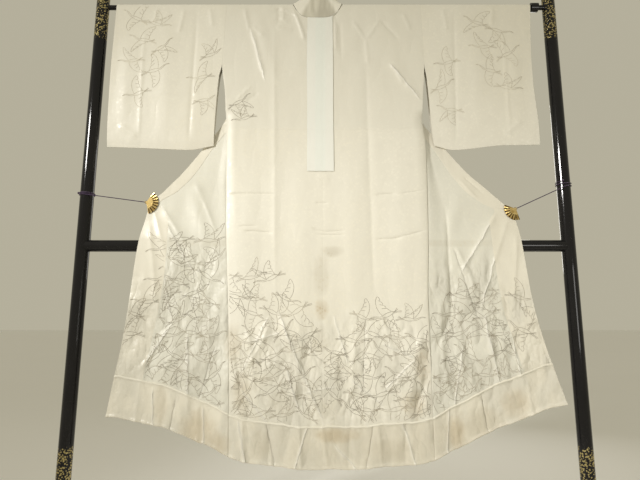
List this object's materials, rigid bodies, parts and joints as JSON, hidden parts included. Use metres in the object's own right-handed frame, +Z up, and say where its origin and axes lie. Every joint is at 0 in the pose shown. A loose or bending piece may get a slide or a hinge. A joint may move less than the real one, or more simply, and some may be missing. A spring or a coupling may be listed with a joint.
{
  "type": "under-kimono on kimono stand",
  "caption": "Lined white silk under-kimono hung over the bar of a black lacquered kimono stand, its fronts drawn out sideways by tied fan-shaped clips.",
  "frame": {"origin": "on the floor, midway between the stand's posts and midway along its feet", "axes": "+Z up, the garment's back faces -Y, +X along the bar to the viewer's right when its back is seen"},
  "size_m": [1.455, 0.38, 1.72],
  "materials": {
    "silk": "ivory figured silk with a soft sheen",
    "strip_silk": "plain white silk",
    "lacquer": "black gloss lacquer",
    "gold": "polished gold plate",
    "cord": "dark purple braid"
  },
  "bodies": {
    "root": {"back_left": "silk", "back_right": "silk", "front_left": "silk", "front_right": "silk", "edge_band_left": "silk", "edge_band_right": "silk", "collar_nape": "silk", "collar_left": "silk", "collar_right": "silk", "sleeve_left_back": "silk", "sleeve_left_front": "silk", "sleeve_right_back": "silk", "sleeve_right_front": "silk", "hem_back_left": "silk", "hem_back_right": "silk", "hem_front_left": "silk", "hem_front_right": "silk", "nape_strip": "strip_silk", "clip_left_leaf": "gold", "clip_left_jaw": "gold", "clip_left_pin": "gold", "clip_left_ring": "gold", "clip_right_leaf": "gold", "clip_right_jaw": "gold", "clip_right_pin": "gold", "clip_right_ring": "gold", "cord_left": "cord", "cord_left_knot": "cord", "cord_right": "cord", "cord_right_knot": "cord", "bar_top": "lacquer", "bar_middle": "lacquer", "post_left": "lacquer", "post_right": "lacquer", "foot_left": "lacquer", "foot_right": "lacquer"}
  },
  "joints": []
}
